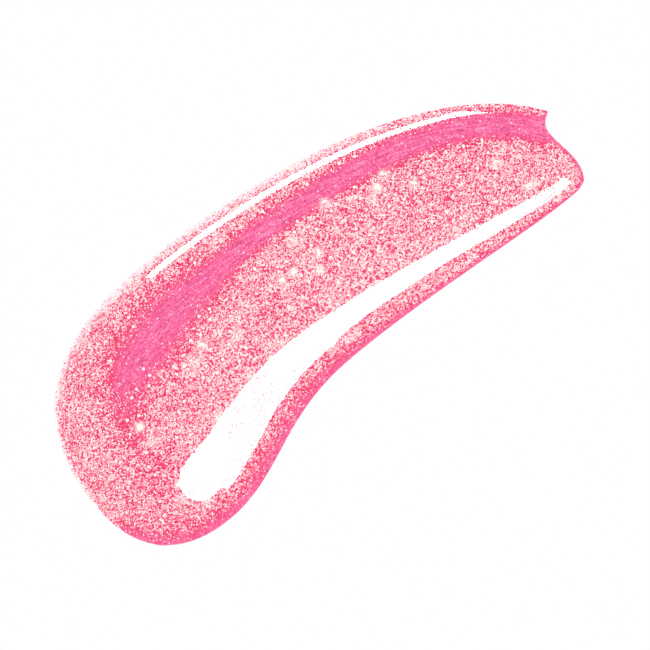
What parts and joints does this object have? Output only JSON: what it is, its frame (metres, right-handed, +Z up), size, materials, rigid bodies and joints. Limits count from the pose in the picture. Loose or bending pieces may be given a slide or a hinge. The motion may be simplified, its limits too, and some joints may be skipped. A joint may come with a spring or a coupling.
{
  "type": "lip gloss smear",
  "caption": "Smear of glitter lip gloss: a thick rounded start drawn out to a thin cut-off end, with an applicator's trough and suspended glitter flakes.",
  "frame": {"origin": "on the surface that the smear lies on, under the middle of its box", "axes": "+X along the stroke, from its thick start to its cut-off end; +Y across it, towards the lip and the applicator's trough; +Z up, away from the surface"},
  "size_m": [0.0424, 0.0176, 0.0024],
  "materials": {
    "gloss_gel": "wet, clear pink gel, mirror gloss",
    "silver_foil": "bright metallised film",
    "gold_foil": "bright champagne metallised film",
    "rose_foil": "bright rose metallised film"
  },
  "bodies": {
    "root": {"gloss_gel": "gloss_gel", "star_flakes_silver": "silver_foil", "star_flakes_gold": "gold_foil", "coarse_flakes_silver": "silver_foil", "coarse_flakes_gold": "gold_foil", "coarse_flakes_rose": "rose_foil"}
  },
  "joints": []
}
